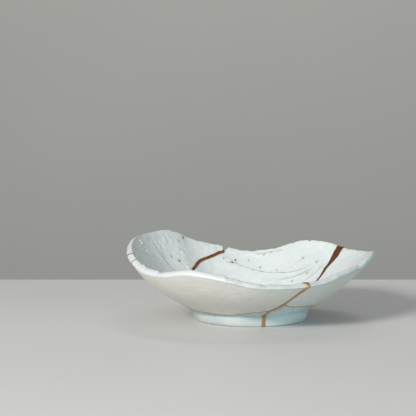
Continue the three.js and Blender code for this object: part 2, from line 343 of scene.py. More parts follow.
def noise_on_rim(degrees, size, shift=0.0):
    """The same noise read along a circle of radius 100 at the rim."""
    ring = np.stack([100 * cosd(degrees), 100 * sind(degrees), 0 * degrees], -1)
    return noise(ring, size, shift)


# Section of the dish

def rise(curve, cosine, t):
    """Share of a wall's height at t: slope * t + (1 - slope) * t ^ power, where the slope and the
    power each have their swing times the cosine of the angle added."""
    slope = curve["slope"] + curve["slope_swing"] * cosine
    power = curve["power"] + curve["power_swing"] * cosine
    return slope * t + (1 - slope) * np.maximum(t, 0) ** power


def deepest_tear(theta, tears):
    """The deepest of the tears at an angle. Each is deepest * (1 - distance / side) ^ 0.8, with
    a side of its own towards smaller and towards larger angles."""
    reach = at_station(RIM_REACH, theta)
    depth = np.zeros_like(reach)
    for angle, toward_smaller, toward_larger, deepest in tears:
        arc = np.radians(turn_to(theta, angle) - angle) * reach
        side = np.where(arc > 0, toward_larger, toward_smaller)
        depth = np.maximum(depth, deepest * np.clip(1 - np.abs(arc) / side, 0, 1) ** 0.8)
    return depth


def roughness_round(theta, least):
    """1 round the back and the right, where the rim is roughest, and the least on the other side:
    a smooth step of the cosine of the angle between."""
    return least + (1 - least) * smoothstep(-0.2, 0.5, cosd(theta - ROUGHEST_ANGLE))


def torn_depth(theta):
    """How much of the wall is torn off at the rim: its nicks, and noise of two sizes that is
    strongest round the back and the right."""
    fine = 0.5 + 0.5 * noise_on_rim(theta, 3.1)
    finer = 0.5 + 0.5 * noise_on_rim(theta, 1.3, 7.3)
    uneven = roughness_round(theta, 0.25) * (0.45 * fine + 0.25 * finer)
    return deepest_tear(theta, RIM_NICKS) + uneven


def rim_at(theta):
    """Reach and height of both edges of the lip at an angle, the top of the foot, and the shares
    of the outer and the inner wall that are left below the torn rim: 1 - torn depth / slant, where
    the slant is the hypotenuse of the wall's reach and 1.5 times its height."""
    theta = np.asarray(theta, float)
    c = cosd(theta)
    reach = at_station(RIM_REACH, theta)
    height = at_station(RIM_HEIGHT, theta)
    foot_top = FOOT_HEIGHT + FOOT_TILT * c
    slant = np.hypot(reach - FOOT_TOP_RADIUS, 1.5 * (height - foot_top))
    thickness = LIP_THICKNESS - LIP_SWELL * c
    left = 1 - torn_depth(theta) / slant
    return {
        "cosine": c,
        "reach": reach,
        "height": height,
        "reach_in": reach - LIP_INWARD * thickness,
        "height_in": height + LIP_UPWARD * thickness,
        "foot_top": foot_top,
        "left": left,
        "left_in": left - deepest_tear(theta, LIP_BITES) / slant,
    }


def inner_wall(rim, t):
    """Radius and height of the inner wall, blended into the bowl of the floor by a smooth maximum:
    mix(floor, wall, s) + blend * s * (1 - s), where s grows from 0 to 1 as the wall rises from
    the blend below the floor to the blend above it."""
    radius = FLOOR_RADIUS + (rim["reach_in"] - FLOOR_RADIUS) * t
    wall = FLOOR_HEIGHT + (rim["height_in"] - FLOOR_HEIGHT) * rise(INNER_CURVE, rim["cosine"], t)
    floor = FLOOR_HEIGHT - FLOOR_SAG * (1 - (radius / FLOOR_RADIUS) ** 2)
    floor = np.where(radius > FLOOR_RADIUS, FLOOR_HEIGHT, floor)
    share = np.clip(0.5 + 0.5 * (wall - floor) / FLOOR_BLEND, 0, 1)
    height = mix(floor, wall, share) + FLOOR_BLEND * share * (1 - share)
    return radius, height


def outer_wall(rim, t):
    """Radius and height of the outer wall: the radius grows evenly with t from the foot to the
    rim, and the height grows by the wall's rise."""
    radius = FOOT_TOP_RADIUS + (rim["reach"] - FOOT_TOP_RADIUS) * t
    height = rim["foot_top"] + (rim["height"] - rim["foot_top"]) * rise(OUTER_CURVE, rim["cosine"], t)
    return radius, height


def foot_points(rim):
    """Points of the underside from the wall down the foot ring, across the edge that stands on
    the table, up the recess and to the axis: radii, and their heights at each angle."""
    flat = 0 * rim["foot_top"]
    radii, heights = [], []
    for radius in FOOT_WALL_RADII:
        t = (radius - FOOT_TOP_RADIUS) / (rim["reach"] - FOOT_TOP_RADIUS)
        radii.append(radius)
        heights.append(outer_wall(rim, t)[1])
    for radius, share, above in FOOT_OUTLINE:
        radii.append(radius)
        heights.append(rim["foot_top"] * share + above)
    for radius in np.arange(CEILING_START, -3 * CEILING_STEP, -CEILING_STEP):
        radii.append(radius)
        heights.append(flat + RECESS_HEIGHT + RECESS_CROWN * (1 - (radius / RECESS_RADIUS) ** 2))
    return np.array(radii, float), np.array(heights)


def foot_line(rim, u):
    """A uniform cubic B-spline along the foot's points, read at u counted in points: four points
    in a row, weighted by the cubic B-spline's blending functions."""
    radii, heights = foot_points(rim)
    k = np.clip(np.floor(u).astype(int), 1, len(radii) - 3)
    s = u - k
    weights = [(1 - s) ** 3, 3 * s ** 3 - 6 * s ** 2 + 4,
               -3 * s ** 3 + 3 * s ** 2 + 3 * s + 1, s ** 3]
    columns = np.arange(heights[0].size).reshape(heights[0].shape)
    table = heights.reshape(len(radii), -1)
    radius = sum(w * radii[k + n - 1] for n, w in enumerate(weights)) / 6
    height = sum(w * table[k + n - 1, columns] for n, w in enumerate(weights)) / 6
    return radius, height


def section(theta, m):
    """Radius and height at an angle and a place m along the section: floor, inner wall, lip,
    outer wall, foot line. The lip is the straight line between its two edges, raised across it
    by crown * sin(pi * s) ^ roundness."""
    theta, m = np.broadcast_arrays(np.asarray(theta, float), np.asarray(m, float))
    rim = rim_at(theta)
    t_in = np.where(m > FLOOR_RADIUS, rim["left_in"] * (m - FLOOR_RADIUS) / WALL_STRETCH,
                    (m - FLOOR_RADIUS) / (rim["reach_in"] - FLOOR_RADIUS))
    radius, height = inner_wall(rim, np.minimum(t_in, rim["left_in"]))

    join = (FOOT_LINE_START - FOOT_TOP_RADIUS) / (rim["reach"] - FOOT_TOP_RADIUS)
    down = np.clip((m - LIP_OUTER) / OUTER_STRETCH, 0, 1)
    outer_radius, outer_height = outer_wall(rim, mix(rim["left"], join, down))

    s = np.clip((m - LIP_INNER) / LIP_STRETCH, 0, 1)
    across, fall = outer_radius - radius, outer_height - height
    width = np.hypot(across, fall) + 1e-9
    crown = LIP_CROWN * np.sin(np.pi * s) ** LIP_ROUNDNESS
    lip_radius = radius + across * s - crown * fall / width
    lip_height = height + fall * s + crown * across / width

    under = m > FOOT_LINE
    if under.any():
        part = {name: values[under] for name, values in rim.items()}
        line_radius, line_height = foot_line(part, 1 + (m[under] - FOOT_LINE) / FOOT_LINE_STEP)
    radius = np.where(m > LIP_INNER, np.where(m > LIP_OUTER, outer_radius, lip_radius), radius)
    height = np.where(m > LIP_INNER, np.where(m > LIP_OUTER, outer_height, lip_height), height)
    if under.any():
        radius[under] = line_radius
        height[under] = line_height
    return radius, height


def skin(theta, m):
    """The smooth surface as points: (radius cos theta, radius sin theta, height)."""
    radius, height = section(theta, m)
    return np.stack([radius * cosd(theta), radius * sind(theta), height], -1)


def skin_normal(theta, m):
    """Unit normals: the slope along the section crossed with the slope round the dish."""
    reach = 0.22
    turn = 0.15
    along = skin(theta, m + reach) - skin(theta, m - reach)
    radius = np.maximum(section(theta, m)[0], 0.01)[..., None]
    around = (skin(theta + turn, m) - skin(theta - turn, m)) / radius
    normal = np.cross(along, around)
    return normal / (np.linalg.norm(normal, axis=-1, keepdims=True) + 1e-12)


# Relief of the surface

def smooth_route(route, step=0.5):
    """A Catmull-Rom curve through the points, read at even steps of its length. It runs on past
    either end as it reached it."""
    points = np.array(route, float)
    ends = np.vstack([2 * points[0] - points[1], points, 2 * points[-1] - points[-2]])
    pieces = []
    for k in range(len(points) - 1):
        a, b, c, d = ends[k:k + 4]
        s = np.linspace(0, 1, 40, endpoint=False)[:, None]
        pieces.append(catmull_rom(a, b, c, d, s))
    dense = np.vstack([*pieces, points[-1:]])
    length = np.concatenate([[0], np.cumsum(np.linalg.norm(np.diff(dense[:, :2], axis=0), axis=1))])
    even = np.linspace(0, length[-1], max(2, int(length[-1] / step) + 1))
    return np.stack([np.interp(even, length, dense[:, n]) for n in range(dense.shape[1])], -1)


def beside_line(line, x, y):
    """Distance to a line, positive on its left, and the place along it from 0 to 1: those of the
    nearest point on any of its pieces."""
    best = np.full(x.shape, 1e9)
    side = np.zeros(x.shape)
    place = np.zeros(x.shape)
    for k in range(len(line) - 1):
        (ax, ay), (bx, by) = line[k][:2], line[k + 1][:2]
        dx, dy = bx - ax, by - ay
        s = np.clip(((x - ax) * dx + (y - ay) * dy) / (dx * dx + dy * dy), 0, 1)
        away = np.hypot(x - ax - s * dx, y - ay - s * dy)
        nearer = away < best
        best = np.where(nearer, away, best)
        side = np.where(nearer, np.sign(dx * (y - ay) - dy * (x - ax)), side)
        place = np.where(nearer, (k + s) / (len(line) - 1), place)
    return best * side, place


def fold_relief(x, y, points):
    """Folds of the inner wall. Below its route a layer swells as e^(distance / swell) up to a lip
    that then drops sharply, and above it lies a narrow beaded crevice, a bell curve across.
    Both fade out towards the ends. Gives the height, and how deep in a crevice a point lies."""
    relief = np.zeros(x.shape)
    crevice = np.zeros(x.shape)
    for route, lip, groove, swell in FOLDS:
        line = smooth_route(route, 3)
        margin = 3 * swell
        near = ((x > line[:, 0].min() - margin) & (x < line[:, 0].max() + margin)
                & (y > line[:, 1].min() - margin) & (y < line[:, 1].max() + margin))
        if not near.any():
            continue
        spot = points[near]
        away, place = beside_line(line, x[near], y[near])
        fade = smoothstep(0, 0.18, place) * smoothstep(0, 0.22, 1 - place)
        wander = 0.35 * noise(spot, 4.2, 3.7) + 0.18 * noise(spot, 1.4, 9.1)
        away = away + wander
        beads = 0.6 + 0.4 * noise(spot, 1.3, 5.3)
        ledge = smoothstep(0.4, -0.4, away) * np.exp(np.minimum(away, 0) / swell)
        gap = bell(away, 1.15, 0.8) * beads
        relief[near] += fade * (lip * ledge * (0.85 + 0.3 * beads) - groove * gap)
        crevice[near] = np.maximum(crevice[near], fade * gap * min(1, groove * 1.4))
    return relief, crevice


def chip_margin(theta, m):
    """How far inside the chip's outline a point lies, negative outside it: the least of its
    distances to the four sides."""
    share = np.clip((m - LIP_INNER) / LIP_STRETCH, -0.4, 1)
    low = mix(CHIP_SIDES_IN[0], CHIP_SIDES_OUT[0], share)
    high = mix(CHIP_SIDES_IN[1], CHIP_SIDES_OUT[1], share)
    arc = math.radians(1) * CHIP_REACH
    return np.minimum.reduce([
        (theta - low) * arc, (high - theta) * arc,
        (m - LIP_INNER + CHIP_DOWN_IN), (LIP_OUTER + CHIP_DOWN_OUT - m)])


def relief(theta, m, points, pocket=False):
    """Height of the real surface over the smooth one, added up: waves of noise; round dents and
    folds inside; tool marks inside at the left, which are stretched noise; turning marks outside,
    a sine of m; and torn skin and a ripple near the rim, which are noise under bell curves of m.
    A pocket takes the rim's chip, and on the standing face all of it fades away."""
    x, y = points[..., 0], points[..., 1]
    inside = m < LIP_INNER
    lift = np.zeros(x.shape)
    for size, shift, height_in, height_out in WAVES:
        lift = lift + np.where(inside, height_in, height_out) * noise(points, size, shift)
    lift = lift * np.where(m > FOOT_LINE, 0.35, 1)
    for dent_x, dent_y, size, depth in DENTS:
        lift = lift - inside * depth * round_spot(x, y, dent_x, dent_y, size)
    folds = np.zeros(x.shape)
    folds[inside] = fold_relief(x[inside], y[inside], points[inside])[0]
    fade_at_lip = smoothstep(LIP_INNER, LIP_INNER - 5, m)
    marks = heaped(points * TOOL_STRETCH, TOOL_MARKS) * smoothstep(-48, -66, x) * fade_at_lip
    phase = m * TURNING_PITCH + 1.5 * noise(points, 30, 1.7)
    turned = np.where(m > LIP_OUTER + 3, TURNING_HEIGHT * np.sin(phase), 0)
    near_rim = bell(m, LIP_INNER + 2, 4.5)
    torn = heaped(points, TORN_SKIN) * near_rim * roughness_round(theta, 0.35)
    ripple = 0.25 * bell(m, LIP_INNER - 5, 3.5) * noise(points, 6, 17.3)
    lift = lift * (1 - 0.5 * near_rim) + folds * fade_at_lip + marks + turned + torn + ripple
    if pocket:
        lift = lift - (CHIP_DEPTH + CHIP_CLEARANCE) * smoothstep(-0.1, 0.35, chip_margin(theta, m))
    off_table = smoothstep(STAND_OUTER - 1, STAND_OUTER - 7, m)
    off_table = off_table + smoothstep(STAND_INNER + 1, STAND_INNER + 5, m)
    return lift * np.clip(off_table, 0, 1) * smoothstep(0, 1, np.abs(points[..., 2]) / 2)


def surface(theta, m, pocket=False):
    """Points of the finished surface, skin + normal * relief, and the skin's normals."""
    points = skin(theta, m)
    normal = skin_normal(theta, m)
    return points + normal * relief(theta, m, points, pocket)[..., None], normal


# Joints as lines round the axis

def polar(line):
    """Radius and angle of a line's points, with no jump of a whole turn between two of them."""
    angle = np.unwrap(np.arctan2(line[:, 1], line[:, 0]))
    return np.hypot(line[:, 0], line[:, 1]), np.degrees(angle)


def beside_route(route, side, gap):
    """A route moved sideways by half its width and a gap: side 1 is its left, -1 its right."""
    line = smooth_route(route)
    along = np.gradient(line[:, :2], axis=0)
    along /= np.linalg.norm(along, axis=1, keepdims=True)
    left = np.stack([-along[:, 1], along[:, 0]], -1)
    return line[:, :2] + side * left * (line[:, 2:3] / 2 + gap)


class Spoke:
    """A line that runs from the axis outwards: its angle at any radius."""

    def __init__(self, points, around):
        """Sorts the points by radius and puts their angles on the turn nearest to one angle."""
        radius, angle = polar(points)
        angle = angle + 360 * np.round((around - angle.mean()) / 360)
        order = np.argsort(radius)
        self.radius = radius[order]
        self.angle = angle[order]

    def at(self, radius):
        """The angle at a radius, on straight lines between the points."""
        return np.interp(radius, self.radius, self.angle)


class Ring:
    """A line round the axis: its radius at any angle."""

    def __init__(self, points):
        """Sorts the points by angle from 0 to 360."""
        radius, angle = polar(points)
        order = np.argsort(angle % 360)
        self.angle = (angle % 360)[order]
        self.radius = radius[order]

    def at(self, angle):
        """The radius at an angle, on straight lines between the points."""
        return np.interp(angle, self.angle, self.radius, period=360)


def closed(route):
    """The route run once more round its join, so that its curve has no start."""
    return route[-3:] + route + route[:3]


def base_ring(side):
    """The base joint's outer (-1) or inner (1) edge: its route has the axis on its left."""
    points = beside_route(closed(BASE_ROUTE), side, SHARD_GAP)
    return Ring(points)


def inner_place(theta, radius):
    """Place m of a radius on the floor, where m is the radius, or on the inner wall, where m grows
    evenly with the radius up to the torn rim."""
    rim = rim_at(theta)
    t = (radius - FLOOR_RADIUS) / (rim["reach_in"] - FLOOR_RADIUS)
    return np.where(radius > FLOOR_RADIUS, FLOOR_RADIUS + WALL_STRETCH * t / rim["left_in"], radius)


def outer_place(theta, radius):
    """Place m of a radius on the outer wall: it grows evenly as the radius shrinks from the torn
    rim to the start of the foot line."""
    rim = rim_at(theta)
    t = (radius - FOOT_TOP_RADIUS) / (rim["reach"] - FOOT_TOP_RADIUS)
    join = (FOOT_LINE_START - FOOT_TOP_RADIUS) / (rim["reach"] - FOOT_TOP_RADIUS)
    return LIP_OUTER + OUTER_STRETCH * (rim["left"] - t) / (rim["left"] - join)


def ceiling_place(radius):
    """Place m of a radius on the ceiling of the recess, whose points lie at even radii."""
    u = CEILING_INDEX + (CEILING_START - radius) / CEILING_STEP
    return FOOT_LINE + FOOT_LINE_STEP * (u - 1)


# Meshes

def put_in(name, points, faces, attributes, material, node):
    """Makes a closed mesh piece. Points that lie together become one, faces that shrink to a
    line go, and if the volume comes out negative the faces turn round. Up to a factor the volume
    is the sum of a . (b x c) + a . (c x d) over the faces with corners a, b, c, d."""
    keys, back = np.unique(np.round(points, 4), axis=0, return_inverse=True)
    back = back.reshape(-1)
    first = np.zeros(len(keys), int)
    first[back[::-1]] = np.arange(len(points))[::-1]
    faces = back[faces]
    same = faces == np.roll(faces, -1, axis=1)
    quads = faces[same.sum(axis=1) == 0]
    single = same.sum(axis=1) == 1
    threes = faces[single][~same[single]].reshape(-1, 3)
    vertices = points[first]
    a, b, c, d = (vertices[quads[:, n]] for n in range(4))
    volume = np.einsum("ij,ij->", a, np.cross(b, c)) + np.einsum("ij,ij->", a, np.cross(c, d))
    if volume < 0:
        quads, threes = quads[:, ::-1], threes[:, ::-1]
    mesh = bpy.data.meshes.new(name)
    mesh.from_pydata((vertices * MM).tolist(), [], quads.tolist() + threes.tolist())
    for label, values in attributes.items():
        layer = mesh.attributes.new(label, "FLOAT", "POINT")
        layer.data.foreach_set("value", np.asarray(values, np.float32).reshape(-1)[first])
    mesh.polygons.foreach_set("use_smooth", np.ones(len(mesh.polygons), bool))
    mesh.set_sharp_from_angle(angle=math.radians(SHARP_ANGLE))
    mesh.materials.append(material)
    mesh.update()
    piece = bpy.data.objects.new(name, mesh)
    bpy.context.scene.collection.objects.link(piece)
    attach(piece, "root")
    if node:
        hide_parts(node)


def end_strip(line, first_rows):
    """Faces over the end of a tube, between its first rows and the rest of them in reverse. The
    shorter side repeats some of its rows, which leaves triangles there."""
    one, other = line[:first_rows], line[first_rows:][::-1]
    count = max(len(one), len(other))
    one = one[np.round(np.linspace(0, len(one) - 1, count)).astype(int)]
    other = other[np.round(np.linspace(0, len(other) - 1, count)).astype(int)]
    return np.stack([one[:-1], other[:-1], other[1:], one[1:]], -1)


def ring_faces(rows, columns, first_rows):
    """Faces of a tube whose section has that many rows and that runs along the columns. Both its
    ends are closed between the first rows and the others."""
    index = np.arange(rows * columns).reshape(rows, columns)
    below = np.roll(index, -1, axis=0)
    side = np.stack([index[:, :-1], below[:, :-1], below[:, 1:], index[:, 1:]], -1).reshape(-1, 4)
    start = end_strip(index[:, 0], first_rows)
    finish = end_strip(index[:, -1], first_rows)[:, ::-1]
    return np.vstack([side, start, finish])


def finish_marks(theta, m, points, is_base):
    """What the glaze does at each point, from 0 to 1: grey painted shade in a crevice, thin over the
    rim, darker painted shade along the front of it, warm on the outer wall and bluish white below
    the base joint, bare where the dish stands, pooled in corners, a painted cool tint for the shade
    on the side turned from the window, stained round the specks. Each is made of smooth steps and
    bell curves of m and of the angle."""
    x, y = points[..., 0], points[..., 1]
    inside = m < LIP_INNER
    # Painted shade: how deep in a fold's crevice a point lies, for the grey painted there.
    crevice = np.zeros(x.shape)
    crevice[inside] = fold_relief(x[inside], y[inside], points[inside])[1]
    thin = np.exp(-((m - (LIP_INNER + 0.5 * LIP_STRETCH)) / 4.9) ** 4)
    # Painted shade: darker glaze along the front of the rim and the inner wall below it.
    near_front = smoothstep(0.72, 0.93, cosd(theta - FRONT_SHADE_ANGLE))
    front_shade = near_front * smoothstep(LIP_INNER - 26, LIP_INNER - 4, m) * (m < LIP_OUTER + 1)
    outside = smoothstep(LIP_OUTER - 2, LIP_OUTER + 2, m)
    outside = outside * smoothstep(STAND_OUTER + 1.5, STAND_OUTER - 0.5, m)
    standing = smoothstep(STAND_OUTER - 0.5, STAND_OUTER + 1, m)
    standing = standing * smoothstep(STAND_INNER + 2, STAND_INNER + 0.5, m)
    corner = bell(m, FOOT_SIDE, 2.2) + bell(m, RECESS_TOP, 3)
    tip = smoothstep(0.9, 1, cosd(theta - TIP_ANGLE)) * bell(m, LIP_OUTER, 5)
    stain = np.zeros(x.shape)
    for sx, sy, size in DARK_SPECKS + GOLD_SPECKS:
        stain = np.maximum(stain, round_spot(x, y, sx, sy, 1.7 * size) * inside)
    for sx, sy, size in OUTER_SPOTS:
        stain = np.maximum(stain, 0.5 * round_spot(x, y, sx, sy, size) * (m > LIP_OUTER))
    return {
        "crevice": crevice,
        "thin": thin * (1 - 0.8 * tip),
        "front_shade": front_shade * (0.75 + 0.5 * noise(points, 6, 40.1)),
        "outer": outside * (not is_base) * (1 - 0.6 * tip),
        "foot": outside * is_base,
        "bare": standing,
        "pool": np.clip(corner * is_base + tip, 0, 1),
        # Painted cool tint of the light on the side turned from the window.
        "shaded_side_tint": smoothstep(0.1, 0.95, cosd(theta - SHADED_ANGLE)),
        "stain": stain,
    }


def settled(low, high, wanted, steps=22):
    """The angle between two bounds that is the one wanted at its own place, by halving."""
    for _ in range(steps):
        theta = (low + high) / 2
        beyond = theta > wanted(theta)
        low = np.where(beyond, low, theta)
        high = np.where(beyond, theta, high)
    return (low + high) / 2


def spread_angles(first, last, radius_at, shares):
    """Angles of a shard's points. Each lies at its share of the way from the first joint to the
    last one at its own radius, which depends on the angle in turn."""
    def wanted(theta):
        radius = radius_at(theta)
        return mix(first.at(radius), last.at(radius), shares)

    low = mix(first.angle.min(), last.angle.min(), shares)
    high = mix(first.angle.max(), last.angle.max(), shares)
    return settled(low, high, wanted)


def shard(name, theta, m, first_rows, node, pocket=False, is_base=False):
    """One closed shard: the finished surface at the angles and places of its ring of rows, as a
    tube that is closed at both joints."""
    points, _ = surface(theta, m, pocket)
    marks = finish_marks(theta, m, points, is_base)
    faces = ring_faces(*theta.shape, first_rows)
    put_in(name, points.reshape(-1, 3), faces, marks, glaze, node)


def crowded_shares(count, middle, width):
    """Shares from 0 to 1 that crowd round a middle: even steps of the sum, from 0 on, of the
    weight 1 + 2.2 * e^-((share - middle) / width)^4."""
    even = np.linspace(0, 1, 2000)
    weight = 1 + 2.2 * np.exp(-((even - middle) / width) ** 4)
    grown = np.concatenate([[0], np.cumsum((weight[1:] + weight[:-1]) / 2)])
    return np.interp(np.linspace(0, grown[-1], count), grown, even)


def wall_shard(name, first, last, rows, shares, node, pocket=False):
    """A shard of the wall, between two joints that run to the rim and the base joint below, with
    its columns at the shares of the way between them. Its inner side has twice as many rows as
    the plainer outer side, at shares 1 - (1 - s) ^ crowding of the way up."""
    base = base_ring(-1)
    columns = len(shares)
    steps_in, steps_out = (np.linspace(0, 1, count) for count in (2 * rows, rows))
    up_in = 1 - (1 - steps_in) ** ROW_CROWDING
    up_out = 1 - (1 - steps_out) ** ROW_CROWDING
    lip_share = np.linspace(0, 1, LIP_ROWS + 2)[1:-1]

    def place(theta):
        """Places m of all rows: up the inner side, over the lip, down the outer side."""
        low_in = inner_place(theta[:2 * rows], base.at(theta[:2 * rows]))
        low_out = outer_place(theta[-rows:], base.at(theta[-rows:]))
        inner = mix(low_in, LIP_INNER, up_in[:, None])
        lip = np.broadcast_to((LIP_INNER + LIP_STRETCH * lip_share)[:, None], (LIP_ROWS, columns))
        outer = mix(LIP_OUTER, low_out, 1 - up_out[::-1, None])
        return np.vstack([inner, lip, outer])

    grid = np.broadcast_to(shares, (3 * rows + LIP_ROWS, columns))
    theta = spread_angles(first, last, lambda angles: section(angles, place(angles))[0], grid)
    shard(name, theta, place(theta), 2 * rows + LIP_ROWS // 2, node, pocket)


def base_shard(name, first, last, columns, node):
    """A shard of the base, from the axis to the base joint, with even rows on its wall, round the
    foot and over the ceiling. Its rows above lie at the same radii as those below, so that its
    edges stand upright."""
    base = base_ring(1)
    start = max(first.radius[0], last.radius[0])
    down = np.linspace(0, 1, BASE_WALL_ROWS)
    ceiling = np.linspace(ceiling_place(CEILING_EDGE), ceiling_place(start), CEILING_ROWS)
    foot = np.linspace(FOOT_LINE, ceiling[0], FOOT_ROWS + 2)[1:-1]

    def place_outer(theta):
        """Places m of the rows below: down the wall, round the foot, over the ceiling."""
        top = outer_place(theta[:len(down)], base.at(theta[:len(down)]))
        wall = mix(top, FOOT_LINE, down[:, None])
        rest = np.concatenate([foot, ceiling])[:, None] + 0 * theta[:1]
        return np.vstack([wall, rest])

    rows = len(down) + len(foot) + len(ceiling)
    grid = np.broadcast_to(np.linspace(0, 1, columns), (rows, columns))
    theta = spread_angles(first, last, lambda angles: section(angles, place_outer(angles))[0], grid)
    outer = place_outer(theta)
    radius = section(theta, outer)[0]
    inner = inner_place(theta, radius)
    theta = np.vstack([theta[::-1], theta])
    shard(name, theta, np.vstack([inner[::-1], outer]), rows, node, is_base=True)


# Gold

def resample(values, points, step):
    """The values read at even steps of the length along their points."""
    length = np.concatenate([[0], np.cumsum(np.linalg.norm(np.diff(points, axis=0), axis=1))])
    even = np.linspace(0, length[-1], max(3, int(length[-1] / step)))
    return np.stack([np.interp(even, length, column) for column in values.T], -1)


def on_spoke(route, m):
    """Angles along a route that leads outwards, at places m of the section: the angle that the
    route has at the radius of its own place."""
    radius, angle = polar(route)
    order = np.argsort(radius)
    low = np.full(len(m), angle.min())
    high = np.full(len(m), angle.max())

    def wanted(theta):
        return np.interp(section(theta, m)[0], radius[order], angle[order])

    return settled(low, high, wanted)


def spoke_path(route, start_radius):
    """Path of a joint over the dish: up the inner wall from a radius, over the lip and down the
    outer wall to the same radius, or from the axis to the axis where that radius is 0. Rows of
    [angle, place, width]."""
    line = smooth_route(route)
    radius = np.hypot(line[:, 0], line[:, 1])
    if start_radius == 0:
        low, high = NEAR_AXIS, ceiling_place(NEAR_AXIS)
    else:
        angle = np.interp(start_radius, radius[::-1], polar(line)[1][::-1])
        low, high = float(inner_place(angle, start_radius)), float(outer_place(angle, start_radius))
    m = np.arange(low, high, PATH_STEP)
    theta = on_spoke(line, m)
    order = np.argsort(radius)
    width = np.interp(section(theta, m)[0], radius[order], line[order, 2])
    return np.stack([theta, m, width], -1)


def path_frame(path, is_loop):
    """Middle points of a path on the finished surface, and unit vectors across it and outwards:
    across is normal x along, and outwards is along x across."""
    centre, normal = surface(path[:, 0], path[:, 1])
    if is_loop:
        along = np.roll(centre, -1, axis=0) - np.roll(centre, 1, axis=0)
    else:
        along = np.gradient(centre, axis=0)
    along /= np.linalg.norm(along, axis=1, keepdims=True)
    across = np.cross(normal, along)
    across /= np.linalg.norm(across, axis=1, keepdims=True)
    return centre, across, np.cross(along, across)


def bead_rings(path, is_loop, style):
    """Rings of points along a path, and the places q of the dome's points, from -1 to 1 across.
    A ring is a low dome, height * (1 - |q| ^ flatness) ^ 0.75, whose feet lie in the glaze on
    both sides of the joint, over a stem that stands in the joint. Its width, its middle, its
    height and its grain are uneven by noise, and on the standing face the dome lies flat."""
    centre, across, outwards = path_frame(path, is_loop)
    half = path[:, 2] / 2 * (1 + style["waver"] * noise(centre, 3.5, 21.3)) + style["overlap"]
    on_table = smoothstep(STAND_OUTER - 2, STAND_OUTER, path[:, 1])
    on_table = on_table * smoothstep(STAND_INNER + 2, STAND_INNER, path[:, 1])
    height = style["height"] * (1 + 0.35 * noise(centre, 2.6, 23.9)) * (1 - on_table)
    shift = style["wander"] * noise(centre, 5, 27.1)
    q = np.linspace(-1, 1, style["points"])
    dome = (1 - np.abs(q) ** style["flatness"]) ** 0.75
    stem = np.maximum(half - style["overlap"] - STEM_PLAY, STEM_LEAST)
    shoulder = half - DOME_SHOULDER
    under = np.stack([shoulder, stem, stem, -stem, -stem, -shoulder], -1)
    ring_x = np.concatenate([half[:, None] * q, under], 1) + shift[:, None]
    spots = centre[:, None] + across[:, None] * ring_x[:, :len(q), None]
    grit = style["grain"] * (1 - on_table[:, None]) * noise(spots, 0.9, 31.7)
    top = height[:, None] * dome - DOME_SUNK + grit * dome
    depths = (*SHOULDER_DEPTHS, style["depth"])
    low = np.broadcast_to(-np.array(depths + depths[::-1]), (len(path), 6))
    ring_z = np.concatenate([top, low], 1)[..., None]
    points = centre[:, None] + across[:, None] * ring_x[..., None] + outwards[:, None] * ring_z
    points[..., 2] = np.maximum(points[..., 2], ABOVE_TABLE)
    return points, q


def bead(parts, style):
    """Points, faces and marks of gold along paths, each a loop or closed at both ends. The marks
    go from 0 to 1: out to the edges of the dome, up to its upper side, inside the dish, and near the
    lip, where a glint is painted."""
    all_points, all_faces, count = [], [], 0
    marks = {"edge": [], "upper": [], "inside": [], "painted_glint": []}
    for path, is_loop in parts:
        centre, _ = surface(path[:, 0], path[:, 1])
        path = resample(path, centre, SEAM_STEP)
        if is_loop:
            path = path[:-1]
        points, q = bead_rings(path, is_loop, style)
        rows, size = points.shape[:2]
        index = np.arange(rows * size).reshape(rows, size) + count
        this = index if is_loop else index[:-1]
        following = np.roll(index, -1, axis=0) if is_loop else index[1:]
        faces = np.stack([this, following, np.roll(following, -1, axis=1),
                          np.roll(this, -1, axis=1)], -1).reshape(-1, 4)
        all_faces.append(faces)
        if not is_loop:
            all_faces.extend(end_faces(index[0], len(q), False))
            all_faces.extend(end_faces(index[-1], len(q), True))
        all_points.append(points.reshape(-1, 3))
        m = path[:, 1:2]
        near_lip = smoothstep(LIP_INNER - 9, LIP_INNER - 1, m)
        for label, values in (
                ("edge", np.concatenate([np.abs(q), np.ones(6)])),
                ("upper", np.concatenate([0.5 + 0.5 * q, [1, 1, 1, 0, 0, 0]])),
                ("inside", smoothstep(LIP_INNER + 5.5, LIP_INNER + 3.5, m)),
                ("painted_glint", near_lip * smoothstep(LIP_OUTER + 2.5, LIP_OUTER, m))):
            marks[label].append(np.broadcast_to(values, (rows, size)).reshape(-1))
        count += rows * size
    marks = {label: np.concatenate(values) for label, values in marks.items()}
    return np.vstack(all_points), np.vstack(all_faces), marks


def end_faces(ring, dome_points, turned):
    """Faces over the end of a bead: a strip under the dome, then the stem."""
    last = dome_points - 1
    half = np.arange(last // 2)
    dome = np.stack([ring[half], ring[last - half], ring[last - 1 - half], ring[half + 1]], -1)
    a, b, c, d, e, f = ring[dome_points:]
    stem = np.array([[ring[last], a, f, ring[0]], [a, b, e, f], [b, c, d, e]])
    stem = stem[:, ::-1]
    if turned:
        dome, stem = dome[:, ::-1], stem[:, ::-1]
    return [dome, stem]


def gold_joint(name, paths, style, material, node, is_loop=False):
    """A piece of gold: a bead along each of its paths."""
    points, faces, marks = bead([(path, is_loop) for path in paths], style)
    put_in(name, points, faces, marks, material, node)


